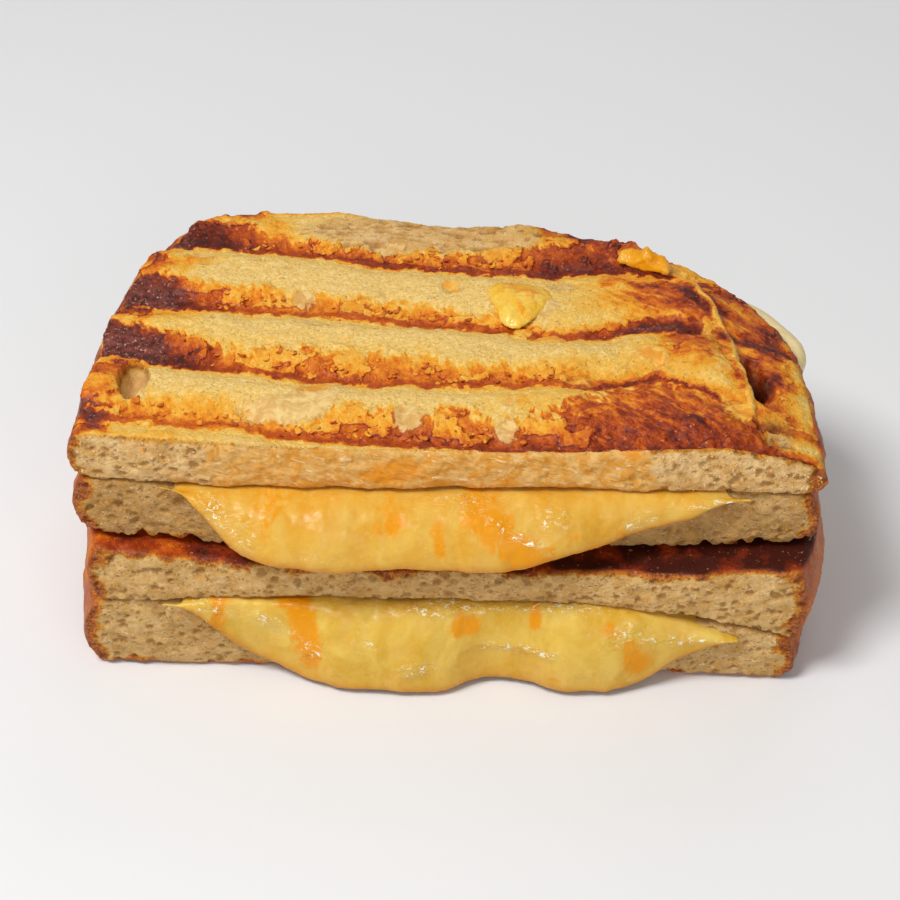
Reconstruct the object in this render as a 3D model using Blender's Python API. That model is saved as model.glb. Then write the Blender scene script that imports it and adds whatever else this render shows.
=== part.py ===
# A grilled cheese sandwich on grill-marked white bread, cut in two, with one half laid on the other.
# Both cut faces look towards -Y, and melted cheese has run out of each. Sizes are in millimetres until
# place() turns them into metres. X runs along the cut, Y from the cut to the crust, Z up.

import math

import bmesh
import bpy
from mathutils import Matrix, Vector

MM = 0.001
CLEARANCE = 0.3  # between two layers that touch
LEVEL_SPAN = 70.0  # a level has its end height this far from the middle of the cut

# The outline of each half seen from above; a pair holds the left and the right value. A side may
# swell outwards behind the cut, and a corner of 0.1 takes a tenth off the half width and off the
# depth where the side meets the back.
UPPER_PLAN = {
    "cut_y": (0.0, 0.0),
    "half_width": (70.5, 70.5),
    "swell": (0.0, 1.0),
    "taper": (0.08, 0.02),
    "depth": (87.5, 66.2),
    "corner": (0.155, 0.13),
    "corner_power": 4.5,
}
LOWER_LID_PLAN = {
    "cut_y": (-3.0, -7.5),
    "half_width": (68.4, 68.2),
    "swell": (1.5, 6.0),
    "taper": (0.0, 0.0),
    "depth": (78.0, 80.0),
    "corner": (0.08, 0.08),
    "corner_power": 7.0,
}
LOWER_BASE_PLAN = LOWER_LID_PLAN | {"half_width": (70.4, 67.2), "swell": (2.0, 4.8)}

# Heights of the layers at the left end, in the middle and at the right end of the cut. A seam is
# the underside of the slice above it; the slices part there by the thickness of the cheese.
LOWER_SEAM = (15.8, 18.2, 8.8)
LOWER_LID_TOP = (31.4, 26.6, 28.2)
UPPER_SEAM = (44.4, 41.4, 40.0)
UPPER_LID_TOP = (55.0, 52.8, 52.0)
LOWER_CHEESE_THICKNESS, UPPER_CHEESE_THICKNESS = 5.6, 4.2
CHEESE_FROM, CHEESE_TO = 24.0, 59.0  # the cheese thins towards both ends and stops short of them

CRUST_EDGE = 1.7  # how far a slice's crust rounds in at its top and bottom
CUT_EDGE = 0.6  # the same at the cut
CRUST_BULGE = 0.8

# The bars of the grill: the points (X, Y) that each bar's groove runs through, from left to right
GRILL_MARKS = (
    ((-60, 67.4), (-40, 66.1), (-30, 64.4), (-10, 60.4), (10, 58.1), (20, 57.4), (32, 59.0), (50, 56.5)),
    ((-65, 44.6), (-40, 43.6), (-20, 42.7), (0, 40.0), (12, 37.8), (20, 34.6), (38, 38.8), (60, 36.0)),
    ((-65, 27.2), (-30, 21.5), (0, 19.9), (28, 20.2), (40, 22.6), (49, 18.5), (58, 9.0)),
    ((-66, 7.4), (-38, 6.8), (-32, 5.0), (0, 2.6), (20, 0.8), (60, 0.5)),
)
GROOVE_DEPTH, GROOVE_HALF_WIDTH = 1.0, 2.8

# The pressed top ends at a ridge near the right, and the unpressed crust beyond it lies lower
RIDGE_X, RIDGE_Y, RIDGE_CURVE = 57.5, 14.0, 0.0058
RIDGE_RISE, RIDGE_WIDTH = 1.2, 7.0
SHOULDER_DROP, SHOULDER_FALL = 2.4, 3.4

# Two large air holes that open in the top: centre, half sizes
TOP_HOLES = {
    "left_hole": ((-60.2, 17.4, 54.9), (3.1, 6.2, 3.0)),
    "right_hole": ((60.2, 22.0, 50.2), (3.2, 6.0, 5.0)),
}

# Cheese that has run out at a cut: how far the lip stands out and how low its lower edge hangs.
# Each is a base value and a list of ramps (from x, to x, change).
UPPER_LIP_REACH = (1.2, [(-54, -30, 9.0), (14, 42, -6.8), (44, 58, -2.2)])
UPPER_LIP_BOTTOM = (29.8, [(-38, -53, 13.2), (-18, -42, 1.6), (8, 30, 2.6), (28, 44, 3.0), (42, 58, 4.4)])
LOWER_LIP_REACH = (1.2, [(-38, -17, 6.1), (-4, 8, -4.4), (12, 22, 3.6), (29, 46, -4.6)])
LOWER_LIP_BOTTOM = (0.7, [(-25, -55, 16.4), (36, 58, 12.4)])
LIP_THICKNESS = 2.4
LIP_ROWS = 6
OOZE_SPREAD = 21.0  # how much further the cheese spreads at the back right, where it has come out
OOZE_MOUTH = 2.6


def smoothstep(start, end, x):
    """0 at start, 1 at end, and smooth between them; start may be the larger."""
    t = min(1.0, max(0.0, (x - start) / (end - start)))
    return t * t * (3.0 - 2.0 * t)


def ramped(curve, x):
    base, ramps = curve
    return base + sum(change * smoothstep(start, end, x) for start, end, change in ramps)


def level(heights, x, power=3.0):
    """A layer's height at x, from its heights at the left end, in the middle and at the right end."""
    left, middle, right = heights
    share = min(1.0, abs(x) / LEVEL_SPAN) ** power
    return middle + ((left if x < 0 else right) - middle) * share


def cut_y(plan, x):
    """Where the cut of a half lies at x, from its places at the left and the right end."""
    left, right = plan["cut_y"]
    return (left + right) / 2.0 + (right - left) * x / (2.0 * LEVEL_SPAN)


def plan_point(plan, u, v, side_inset=0.0, front_inset=0.0, back_inset=None):
    """The point of a plan at u from -1 (left) to 1 (right) and v from 0 (the cut) to 1 (the back)."""
    side = (1.0 + u) / 2.0

    def between(key):
        left, right = plan[key]
        return left + (right - left) * side

    corner, power = between("corner"), plan["corner_power"]
    half = between("half_width") * (1.0 - between("taper") * v)
    half += between("swell") * math.sin(math.pi * min(1.0, v) ** 0.7)
    half = (half - side_inset) * (1.0 - corner * v**power)
    depth = between("depth") - (side_inset if back_inset is None else back_inset)
    reach = v * depth * (1.0 - corner * abs(u) ** power)
    return u * half, cut_y(plan, u * half) + front_inset * (1.0 - v) + reach


# Surfaces of the layers, as heights over x and y


def ooze_share(x, y):
    return smoothstep(32.0, 60.0, x) * smoothstep(14.0, 44.0, y)


def mark_y(mark, x):
    """Where a bar's groove lies at x, between the points it runs through."""
    for (x_from, y_from), (x_to, y_to) in zip(mark, mark[1:]):
        if x <= x_to:
            break
    share = min(max((x - x_from) / (x_to - x_from), 0.0), 1.0)
    return y_from + (y_to - y_from) * share


def groove(x, y):
    return sum(
        math.exp(-(((y - mark_y(mark, x)) / GROOVE_HALF_WIDTH) ** 2)) for mark in GRILL_MARKS
    )


def ridge_x(y):
    return RIDGE_X - RIDGE_CURVE * (y - RIDGE_Y) ** 2


def upper_lid_top(x, y):
    height = level(UPPER_LID_TOP, x, 2.0)
    past = x - ridge_x(y)
    front_sag = 1.7 * (1.0 - (x / 75.0) ** 2) * smoothstep(16.0, 0.0, y)
    back_fall = 1.2 * smoothstep(66.0, 84.0, y)
    hump = 2.4 * math.exp(-(((x - 18.0) / 7.0) ** 2) - ((y - 73.0) / 6.0) ** 2)
    height += hump - front_sag - back_fall
    height += RIDGE_RISE * math.exp(-((past / RIDGE_WIDTH) ** 2)) * smoothstep(1.0, -1.0, past)
    height -= SHOULDER_DROP * smoothstep(-0.5, 2.2, past) + SHOULDER_FALL * smoothstep(3.0, 18.0, past)
    return height - GROOVE_DEPTH * groove(x, y) * smoothstep(4.0, -2.0, past)


def gap(thickness, x, share=0.0):
    return CLEARANCE + thickness * smoothstep(CHEESE_TO, CHEESE_FROM, abs(x)) * (1.0 - share)


def upper_lid_bottom(x, y):
    return level(UPPER_SEAM, x) + OOZE_MOUTH * ooze_share(x, y)


def upper_base_top(x, y):
    share = ooze_share(x, y)
    return level(UPPER_SEAM, x) - gap(UPPER_CHEESE_THICKNESS, x, share) - OOZE_MOUTH * share


def upper_base_bottom(x, y):
    return level(LOWER_LID_TOP, x) + CLEARANCE


def lower_lid_top(x, y):
    return level(LOWER_LID_TOP, x) - 0.9 * smoothstep(3.0, 0.0, y - cut_y(LOWER_LID_PLAN, x))


def lower_lid_bottom(x, y):
    return level(LOWER_SEAM, x)


def lower_base_top(x, y):
    return level(LOWER_SEAM, x) - gap(LOWER_CHEESE_THICKNESS, x)


def lower_base_bottom(x, y):
    return 0.0


# Building the solids


def closed_grid(name, columns, row_values, under, over, rings):
    """A closed solid between two grids of points, joined round their edges through the rings."""
    us = [2.0 * i / columns - 1.0 for i in range(columns + 1)]
    rows = len(row_values)
    edge = [(i, 0) for i in range(columns)]
    edge += [(columns, j) for j in range(rows - 1)]
    edge += [(i, rows - 1) for i in range(columns, 0, -1)]
    edge += [(0, j) for j in range(rows - 1, 0, -1)]

    mesh = bmesh.new()

    def add(point):
        return mesh.verts.new(Vector(point))

    grids = []
    for surface, turned in ((under, True), (over, False)):
        grid = [[add(surface(u, v)) for v in row_values] for u in us]
        grids.append(grid)
        for i in range(columns):
            for j in range(rows - 1):
                corners = [grid[i][j], grid[i + 1][j], grid[i + 1][j + 1], grid[i][j + 1]]
                mesh.faces.new(corners[::-1] if turned else corners)
    loops = [[grids[0][i][j] for i, j in edge]]
    loops += [[add(ring(us[i], row_values[j])) for i, j in edge] for ring in rings]
    loops += [[grids[1][i][j] for i, j in edge]]
    for low, high in zip(loops, loops[1:]):
        for k in range(len(edge)):
            nxt = (k + 1) % len(edge)
            mesh.faces.new([low[k], low[nxt], high[nxt], high[k]])
    bmesh.ops.recalc_face_normals(mesh, faces=mesh.faces)
    data = bpy.data.meshes.new(name)
    mesh.to_mesh(data)
    mesh.free()
    data.shade_smooth()
    obj = bpy.data.objects.new(name, data)
    bpy.context.scene.collection.objects.link(obj)
    return obj


def bread_slice(name, plan, bottom, top, columns, rows):
    """A slice with its crust rounded at the sides and back and its cut face flat."""

    def at(u, v, share, side_inset, front_inset):
        x, y = plan_point(plan, u, v, side_inset, front_inset)
        low, high = bottom(x, y), top(x, y)
        return x, y, low + share * (high - low)

    return closed_grid(
        name,
        columns,
        [j / rows for j in range(rows + 1)],
        lambda u, v: at(u, v, 0.0, CRUST_EDGE, CUT_EDGE),
        lambda u, v: at(u, v, 1.0, CRUST_EDGE, CUT_EDGE),
        [
            lambda u, v: at(u, v, 0.16, 0.3, 0.0),
            lambda u, v: at(u, v, 0.5, -CRUST_BULGE, 0.0),
            lambda u, v: at(u, v, 0.84, 0.3, 0.0),
        ],
    )


def cheese_layer(name, plan, bottom, top, reach_curve, edge_curve, ooze):
    """Melted cheese between two slices, with a lip that has run out over the lower slice's cut."""

    def slab(u, v, height, clearance, extra=0.0):
        share = ooze * smoothstep(0.5, 0.95, u) * smoothstep(0.45, 0.72, v)
        side = plan["half_width"][0] - CHEESE_TO + 4.0 - OOZE_SPREAD * share
        back = 2.6 - 6.0 * share - extra
        x, y = plan_point(plan, u, v, side - extra, 0.0, back)
        return x, y, height(x, y) + clearance

    def lip(u, t, outer):
        x, start_y = slab(u, 0.0, top, 0.0)[:2]
        reach, edge = ramped(reach_curve, x), ramped(edge_curve, x)
        if outer:
            start = top(x, start_y) - CLEARANCE
            y = start_y - reach * math.sin(t * math.pi / 2.0)
            z = start - (start - edge - 0.7) * (1.0 - math.cos(t * math.pi / 2.0))
        else:
            start = bottom(x, start_y) + CLEARANCE
            y = start_y - CLEARANCE - max(0.0, reach - LIP_THICKNESS) * t * t
            z = start - max(0.2, start - edge) * t
        return x, y, z

    def point(u, v, outer):
        if v < 0.0:
            return lip(u, -v, outer)
        return slab(u, v, top if outer else bottom, -CLEARANCE if outer else CLEARANCE)

    def rim(u, v):
        low, high = Vector(point(u, v, False)), Vector(point(u, v, True))
        middle = (low + high) / 2.0
        if v > 0.0:
            x, y = slab(u, v, top, 0.0, 0.7)[:2]
            return x, y, middle.z
        if v == -1.0:
            middle += Vector((0.0, -0.5, -0.5 if low.z > 2.0 else -0.2))
        return middle

    lip_rows = [-1.0 + k / LIP_ROWS for k in range(LIP_ROWS)]
    slab_rows = [0.0, 0.04, 0.2, 0.4, 0.5, 0.6, 0.7, 0.85, 1.0]
    return closed_grid(
        name,
        28,
        lip_rows + slab_rows,
        lambda u, v: point(u, v, False),
        lambda u, v: point(u, v, True),
        [rim],
    )


def air_hole(name, centre, half_sizes):
    """An egg-shaped cutter, which is not part of the object."""
    mesh = bmesh.new()
    bmesh.ops.create_icosphere(mesh, subdivisions=2, radius=1.0)
    mesh.transform(Matrix.Translation(centre) @ Matrix.Diagonal((*half_sizes, 1.0)))
    data = bpy.data.meshes.new(name)
    mesh.to_mesh(data)
    mesh.free()
    cutter = bpy.data.objects.new(name, data)
    bpy.context.scene.collection.objects.link(cutter)
    cutter.hide_render = True
    cutter.display_type = "WIRE"
    return cutter


def cut_holes(lid, holes):
    for name, (centre, half_sizes) in holes.items():
        hole = lid.modifiers.new(name, "BOOLEAN")
        hole.operation = "DIFFERENCE"
        hole.object = air_hole(name, centre, half_sizes)


def cheese_spot():
    """A puddle of cheese that has bubbled up through the top slice and set on it."""
    centre, half_sizes, height = (14.4, 45.4), (6.2, 7.0), 1.5

    def at(u, v, lift):
        # u and 2v - 1 run over a square that is mapped onto a lobed disc
        w = 2.0 * v - 1.0
        px, py = u * math.sqrt(1.0 - w * w / 2.0), w * math.sqrt(1.0 - u * u / 2.0)
        lobe = 1.0 + 0.14 * math.sin(3.0 * math.atan2(py, px) + 0.6)
        x = centre[0] + half_sizes[0] * px * lobe
        y = centre[1] + half_sizes[1] * py * lobe
        dome = height * max(0.0, 1.0 - px * px - py * py) ** 0.6
        return x, y, upper_lid_top(x, y) + CLEARANCE + (0.5 + dome if lift else 0.0)

    return closed_grid(
        "cheese_spot",
        8,
        [j / 8.0 for j in range(9)],
        lambda u, v: at(u, v, False),
        lambda u, v: at(u, v, True),
        [],
    )


def crisp_cheese():
    """Cheese that leaked onto the hot plate at the back and fried to a ragged crest."""
    start, end, thickness = Vector((35.5, 62.5)), Vector((45.5, 57.0)), 3.2

    def at(u, v, lift):
        line = start.lerp(end, (1.0 + u) / 2.0)
        x, y = line.x + 0.45 * thickness * (v - 0.5), line.y + thickness * (v - 0.5)
        arch = math.cos(u * math.pi / 2.3)
        crest = (2.0 + 1.2 * math.sin(6.0 * u + 1.2) * arch) * math.sin(math.pi * (0.2 + 0.6 * v))
        return x, y, upper_lid_top(x, y) + CLEARANCE + (0.5 + crest * arch if lift else 0.0)

    return closed_grid(
        "crisp_cheese",
        12,
        [j / 4.0 for j in range(5)],
        lambda u, v: at(u, v, False),
        lambda u, v: at(u, v, True),
        [],
    )


def finish(name, colour, roughness):
    """A plain surface: a colour and how matt it is."""
    material = bpy.data.materials.new(name)
    material.use_nodes = True
    shader = material.node_tree.nodes["Principled BSDF"]
    shader.inputs["Base Color"].default_value = (*colour, 1.0)
    shader.inputs["Roughness"].default_value = roughness
    return material


def place(objects):
    """Turns millimetres into metres and puts the origin under the middle of the whole sandwich."""
    points = [corner for obj in objects for corner in (v.co for v in obj.data.vertices)]
    low = Vector(min(p[k] for p in points) for k in range(3))
    high = Vector(max(p[k] for p in points) for k in range(3))
    middle = Vector(((low.x + high.x) / 2.0, (low.y + high.y) / 2.0, low.z))
    for obj in bpy.context.scene.objects:
        obj.data.transform(Matrix.Scale(MM, 4) @ Matrix.Translation(-middle))


def main():
    for obj in list(bpy.data.objects):
        bpy.data.objects.remove(obj)

    upper_lid = bread_slice("upper_lid", UPPER_PLAN, upper_lid_bottom, upper_lid_top, 25, 21)
    cut_holes(upper_lid, TOP_HOLES)
    upper_base = bread_slice("upper_base", UPPER_PLAN, upper_base_bottom, upper_base_top, 22, 9)
    lower_lid = bread_slice("lower_lid", LOWER_LID_PLAN, lower_lid_bottom, lower_lid_top, 20, 8)
    lower_base = bread_slice("lower_base", LOWER_BASE_PLAN, lower_base_bottom, lower_base_top, 22, 7)
    upper_cheese = cheese_layer(
        "upper_cheese", UPPER_PLAN, upper_base_top, upper_lid_bottom, UPPER_LIP_REACH, UPPER_LIP_BOTTOM, 1.0
    )
    lower_cheese = cheese_layer(
        "lower_cheese", LOWER_BASE_PLAN, lower_base_top, lower_lid_bottom, LOWER_LIP_REACH, LOWER_LIP_BOTTOM, 0.0
    )

    toast, crumb = ((0.55, 0.26, 0.07), 0.75), ((0.78, 0.66, 0.42), 0.85)
    melt, fried = ((0.87, 0.62, 0.17), 0.3), ((0.80, 0.38, 0.04), 0.5)
    looks = {
        upper_lid: toast,
        upper_base: crumb,
        lower_lid: toast,
        lower_base: crumb,
        upper_cheese: melt,
        lower_cheese: melt,
        cheese_spot(): melt,
        crisp_cheese(): fried,
    }
    for obj, (colour, roughness) in looks.items():
        obj.data.materials.append(finish(obj.name, colour, roughness))
    place(list(looks))


main()
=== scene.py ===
# A grilled cheese sandwich, cut in two and stacked: toasted bread, torn crumb and melted cheese
import math

import bmesh
import bpy
import numpy as np
from mathutils import Matrix, Vector
from mathutils.kdtree import KDTree


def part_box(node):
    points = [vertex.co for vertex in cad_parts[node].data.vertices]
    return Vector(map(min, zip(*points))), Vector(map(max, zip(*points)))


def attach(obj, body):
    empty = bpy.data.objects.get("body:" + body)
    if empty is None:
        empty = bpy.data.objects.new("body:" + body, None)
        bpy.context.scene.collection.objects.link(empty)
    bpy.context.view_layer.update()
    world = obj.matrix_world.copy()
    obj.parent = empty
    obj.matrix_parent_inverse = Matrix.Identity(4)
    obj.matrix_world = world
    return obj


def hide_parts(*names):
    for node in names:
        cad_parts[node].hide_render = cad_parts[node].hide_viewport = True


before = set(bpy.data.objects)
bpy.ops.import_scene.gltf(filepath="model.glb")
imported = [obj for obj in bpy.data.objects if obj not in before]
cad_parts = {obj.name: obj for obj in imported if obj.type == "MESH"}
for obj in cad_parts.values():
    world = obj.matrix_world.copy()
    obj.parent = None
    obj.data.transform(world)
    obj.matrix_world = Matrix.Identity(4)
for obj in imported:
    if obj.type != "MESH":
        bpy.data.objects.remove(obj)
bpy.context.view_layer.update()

# Work is done in millimetres from the middle of the upper half's cut, at table height
mm = 0.001
lidHalfWidth = 0.0713
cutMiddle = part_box("upper_lid")[0] + Vector((lidHalfWidth, 0.0, 0.0))
cutMiddle.z = 0.0
breadVoxel, meltVoxel, blobVoxel = 0.9 * mm, 0.5 * mm, 0.3 * mm
downwards, inwards = np.array((0.0, 0.0, -1.0)), np.array((0.0, 1.0, 0.0))


# Fields over points: every one takes an array of points in millimetres
hashFactors = (374761393, 668265263, 1440662683, 974634777, 1274126177)  # large odd numbers, for even scatter
turnedAxes = np.array(Matrix.Rotation(0.7, 3, (0.3, 0.5, 0.8)))


def ease(start, end, x):  # 0 at start, 1 at end, smooth between; start may be the larger
    t = np.clip((x - start) / (end - start), 0.0, 1.0)
    return t * t * (3.0 - 2.0 * t)


def hill(x, width):
    return np.exp(-((x / width) ** 2))


def cellHash(cell, seed):
    h = sum(cell[..., axis] * hashFactors[axis] for axis in range(3)) + seed * hashFactors[3]
    h = (h ^ (h >> 13)) & 0xFFFFFFFF
    h = (h * hashFactors[4]) & 0xFFFFFFFF
    h = h ^ (h >> 16)
    return (h & 0xFFFFFF) / float(0xFFFFFF)


def softNoise(points, size, seed, stretch=(1, 1, 1)):  # one octave, 0 to 1
    q = points / (size * np.array(stretch, float))
    cell = np.floor(q).astype(np.int64)
    f = q - cell
    f = f * f * f * (f * (f * 6.0 - 15.0) + 10.0)
    total = np.zeros(len(points))
    for corner in np.ndindex(2, 2, 2):
        weight = np.ones(len(points))
        for axis in range(3):
            weight *= f[:, axis] if corner[axis] else 1.0 - f[:, axis]
        total += weight * cellHash(cell + np.array(corner), seed)
    return total


def roughNoise(points, size, seed, octaves=3, stretch=(1, 1, 1)):  # about -1 to 1
    total, reach = np.zeros(len(points)), 0.0
    for k in range(octaves):
        turned = points @ turnedAxes if k % 2 else points  # hides the grid of the cells
        total += (softNoise(turned, size / 2.0**k, seed + 17 * k, stretch) - 0.5) / 2.0**k
        reach += 0.5 / 2.0**k
    return total / reach * 1.35


def patchField(u, v, patches):  # soft-edged ellipses: centre, half sizes, turn in degrees, strength
    total = np.zeros(len(u))
    for cu, cv, ru, rv, turn, strength in patches:
        a = math.radians(turn)
        du, dv = u - cu, v - cv
        along = (du * math.cos(a) + dv * math.sin(a)) / ru
        across = (dv * math.cos(a) - du * math.sin(a)) / rv
        total += strength * np.exp(-(along**2 + across**2))
    return total


# Meshes


def smoothedCopy(node, name, voxel, creaseFrom=48.0, crease=0.75):  # rounded, then even small faces
    mesh = bmesh.new()
    mesh.from_mesh(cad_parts[node].data)
    bmesh.ops.remove_doubles(mesh, verts=mesh.verts, dist=0.00001)
    flat, square = math.radians(35), math.radians(70)
    bmesh.ops.join_triangles(mesh, faces=mesh.faces, angle_face_threshold=flat, angle_shape_threshold=square)
    layer = mesh.edges.layers.float.new("crease_edge")
    for edge in mesh.edges:
        if len(edge.link_faces) == 2 and edge.calc_face_angle() > math.radians(creaseFrom):
            edge[layer] = crease
    data = bpy.data.meshes.new(name)
    mesh.to_mesh(data)
    mesh.free()
    piece = bpy.data.objects.new(name, data)
    bpy.context.scene.collection.objects.link(piece)
    rounding = piece.modifiers.new("rounding", "SUBSURF")
    rounding.levels = rounding.render_levels = 2
    voxels = piece.modifiers.new("voxels", "REMESH")
    voxels.mode = "VOXEL"
    voxels.voxel_size = voxel
    settle(piece)
    return piece


def refine(piece, cutCuts, topCuts):  # smaller faces on the cut, and on the grilled top
    mesh = bmesh.new()
    mesh.from_mesh(piece.data)
    mesh.normal_update()
    cutEnd = min(vertex.co.y for vertex in mesh.verts) + 8.0 * mm
    for cuts, wanted in (
        (topCuts, lambda face: face.normal.z > 0.55),
        (cutCuts, lambda face: face.normal.y < -0.6 and face.calc_center_median().y < cutEnd),
    ):
        if cuts:
            edges = list({edge for face in mesh.faces if wanted(face) for edge in face.edges})
            made = bmesh.ops.subdivide_edges(mesh, edges=edges, cuts=cuts, use_grid_fill=True)
            inside = [item for item in made["geom_inner"] if isinstance(item, bmesh.types.BMVert)]
            axes = {"use_axis_" + axis: True for axis in "xyz"}
            for _ in range(2):
                bmesh.ops.smooth_vert(mesh, verts=inside, factor=0.5, **axes)
    bmesh.ops.triangulate(mesh, faces=[face for face in mesh.faces if len(face.verts) > 4])
    mesh.to_mesh(piece.data)
    mesh.free()


def settle(piece):  # the modifiers' result becomes the piece's own mesh
    graph = bpy.context.evaluated_depsgraph_get()
    old = piece.data
    data = bpy.data.meshes.new_from_object(piece.evaluated_get(graph))
    piece.modifiers.clear()
    piece.data = data
    data.name = piece.name
    bpy.data.meshes.remove(old)


def facesWhere(piece, values, limit, name):  # a bare copy of the faces on which a value passes a limit
    data = piece.data
    keep = values > limit
    kept = [tuple(face.vertices) for face in data.polygons if all(keep[k] for k in face.vertices)]
    used = sorted({k for face in kept for k in face})
    order = {k: n for n, k in enumerate(used)}
    mesh = bpy.data.meshes.new(name)
    mesh.from_pydata([data.vertices[k].co for k in used], [], [[order[k] for k in face] for face in kept])
    return mesh


def arrayOf(items, key, width, kind=np.float32):
    values = np.empty(len(items) * width, kind)
    items.foreach_get(key, values)
    return values.reshape(-1, width)


def treeOf(points, chosen):
    tree = KDTree(len(chosen))
    for k in chosen:
        tree.insert(points[k], int(k))
    tree.balance()
    return tree


class Shell:
    # A piece's points, with smoothed normals, while it is being shaped
    def __init__(self, piece, normalPasses=8):
        self.piece, data = piece, piece.data
        self.p = (arrayOf(data.vertices, "co", 3).astype(float) - np.array(cutMiddle)) / mm
        self.edges = arrayOf(data.edges, "vertices", 2, np.int32)
        self.valence = np.bincount(self.edges.ravel(), minlength=len(self.p))[:, None]
        self.n = self.averaged(arrayOf(data.vertex_normals, "vector", 3).astype(float), normalPasses)
        self.n /= np.linalg.norm(self.n, axis=1)[:, None] + 1e-9

    def averaged(self, values, passes):  # each point with its neighbours
        a, b = self.edges.T
        for _ in range(passes):
            total = values.copy()
            for k, column in enumerate(values.T):
                total[:, k] += np.bincount(a, column[b], len(column)) + np.bincount(b, column[a], len(column))
            values = total / (self.valence + 1)
        return values

    def push(self, amount):  # outwards, in millimetres
        self.p += self.n * amount[:, None]

    def distanceTo(self, chosen):
        tree = treeOf(self.p, np.flatnonzero(chosen))
        return np.array([tree.find(point)[2] for point in self.p])

    def pits(self, centres, radii, depths, direction, squash=(1, 1, 1), bend=0.0):
        # round or oval hollows; gives how deep in a hollow each point is, 0 to 1
        tree = treeOf(self.p, range(len(self.p)))
        inside, depth = np.zeros(len(self.p)), np.zeros(len(self.p))
        moved = np.stack([bend * roughNoise(self.p, 1.1, 91 + axis, 2) for axis in range(3)], axis=1)
        squash = np.array(squash, float)
        for centre, radius, deepest in zip(centres, radii, depths):
            near = [k for _, k, _ in tree.find_range(centre, radius * squash.max() * 1.05)]
            if not near:
                continue
            share = np.linalg.norm((self.p[near] + moved[near] - centre) / (radius * squash), axis=1)
            bowl = np.sqrt(np.clip(1.0 - share**2, 0.0, 1.0))
            depth[near] = np.maximum(depth[near], deepest * bowl)
            inside[near] = np.maximum(inside[near], ease(0.0, 0.8, bowl))
        self.p += direction * depth[:, None]
        return inside

    def finish(self, attributes, material, node):  # the piece takes its points, attributes, finish and place
        data = self.piece.data
        points = self.p * mm + np.array(cutMiddle)
        data.vertices.foreach_set("co", points.astype(np.float32).ravel())
        for name, values in attributes.items():
            layer = data.attributes.new(name, "FLOAT", "POINT")
            layer.data.foreach_set("value", np.ascontiguousarray(values, np.float32))
        data.shade_smooth()
        data.update()
        data.materials.append(material)
        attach(self.piece, "root")
        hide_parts(node)
        print(self.piece.name, len(data.polygons), "faces")


# Shader building


def rgb(red, green, blue):  # from the values a colour picker shows, 0 to 255
    parts = (c / 255 for c in (red, green, blue))
    return tuple(((c + 0.055) / 1.055) ** 2.4 if c > 0.04 else c / 12.92 for c in parts) + (1.0,)


class Tree:
    # Short names for the nodes used below; a size is in millimetres
    def __init__(self, tree):
        self.tree = tree

    def node(self, kind, inputs=(), **settings):
        made = self.tree.nodes.new(kind)
        for key, value in settings.items():
            setattr(made, key, value)
        for key, value in dict(inputs).items():
            self.link(value, made.inputs[key])
        return made

    def link(self, value, socket):
        if isinstance(value, bpy.types.NodeSocket):
            self.tree.links.new(value, socket)
        else:
            socket.default_value = value

    def math(self, operation, values, clamp=False):  # from the first value on to the last
        total = values[0]
        for value in values[1:]:
            pair = {0: total, 1: value}
            total = self.node("ShaderNodeMath", pair, operation=operation, use_clamp=clamp).outputs[0]
        return total

    def plus(self, *values, clamp=False):
        return self.math("ADD", values, clamp)

    def minus(self, *values, clamp=False):
        return self.math("SUBTRACT", values, clamp)

    def times(self, *values):
        return self.math("MULTIPLY", values)

    def largest(self, *values):
        return self.math("MAXIMUM", values)

    def absolute(self, value):
        return self.node("ShaderNodeMath", {0: value}, operation="ABSOLUTE").outputs[0]

    def ease(self, start, end, value):
        ends = {"Value": value, "From Min": start, "From Max": end}
        return self.node("ShaderNodeMapRange", ends, interpolation_type="SMOOTHSTEP").outputs[0]

    def between(self, share, low, high):  # a number from low to high
        return self.node("ShaderNodeMapRange", {"Value": share, "To Min": low, "To Max": high}).outputs[0]

    def mix(self, share, a, b):
        return self.node("ShaderNodeMix", {0: share, 6: a, 7: b}, data_type="RGBA").outputs[2]

    def layered(self, colour, *coats):  # each coat has its share, then its colour
        for share, coat in coats:
            colour = self.mix(share, colour, coat)
        return colour

    def attribute(self, name):
        return self.node("ShaderNodeAttribute", attribute_name=name).outputs["Fac"]

    def place(self):
        return self.node("ShaderNodeTexCoord").outputs["Object"]

    def ramp(self, value, stops):
        made = self.node("ShaderNodeValToRGB", {0: value})
        elements = made.color_ramp.elements
        elements[0].color, elements[1].color = stops[0][1], stops[-1][1]
        for place, colour in stops[1:-1]:
            elements.new(place).color = colour
        return made.outputs[0]

    def noise(self, vector, size, detail=3.0, roughness=0.55, warp=0.0, drawn=None, turn=(0, 0, 0)):
        if drawn:
            vector = self.stretched(vector, drawn, turn)
        values = {"Vector": vector, "Scale": 1.0 / (size * mm), "Detail": detail, "Roughness": roughness}
        return self.node("ShaderNodeTexNoise", {**values, "Distortion": warp}).outputs["Fac"]

    def swing(self, *values, **more):  # noise about zero
        return self.minus(self.noise(*values, **more), 0.5)

    def stretched(self, vector, scale, turn=(0, 0, 0)):  # turned first, then drawn out
        values = {"Vector": vector, "Scale": tuple(1.0 / part for part in scale), "Rotation": turn}
        return self.node("ShaderNodeMapping", values, vector_type="TEXTURE").outputs[0]

    def bump(self, height, strength, distance):
        values = {"Height": height, "Strength": strength, "Distance": distance * mm}
        return self.node("ShaderNodeBump", values).outputs[0]

    def group(self, tree, **values):
        return self.node("ShaderNodeGroup", values, node_tree=tree).outputs

    def stored(self, name, geometry, value, domain):
        values = {"Name": name, "Geometry": geometry, "Value": value}
        kinds = {"data_type": "FLOAT", "domain": domain}
        return self.node("GeometryNodeStoreNamedAttribute", values, **kinds).outputs[0]


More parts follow.
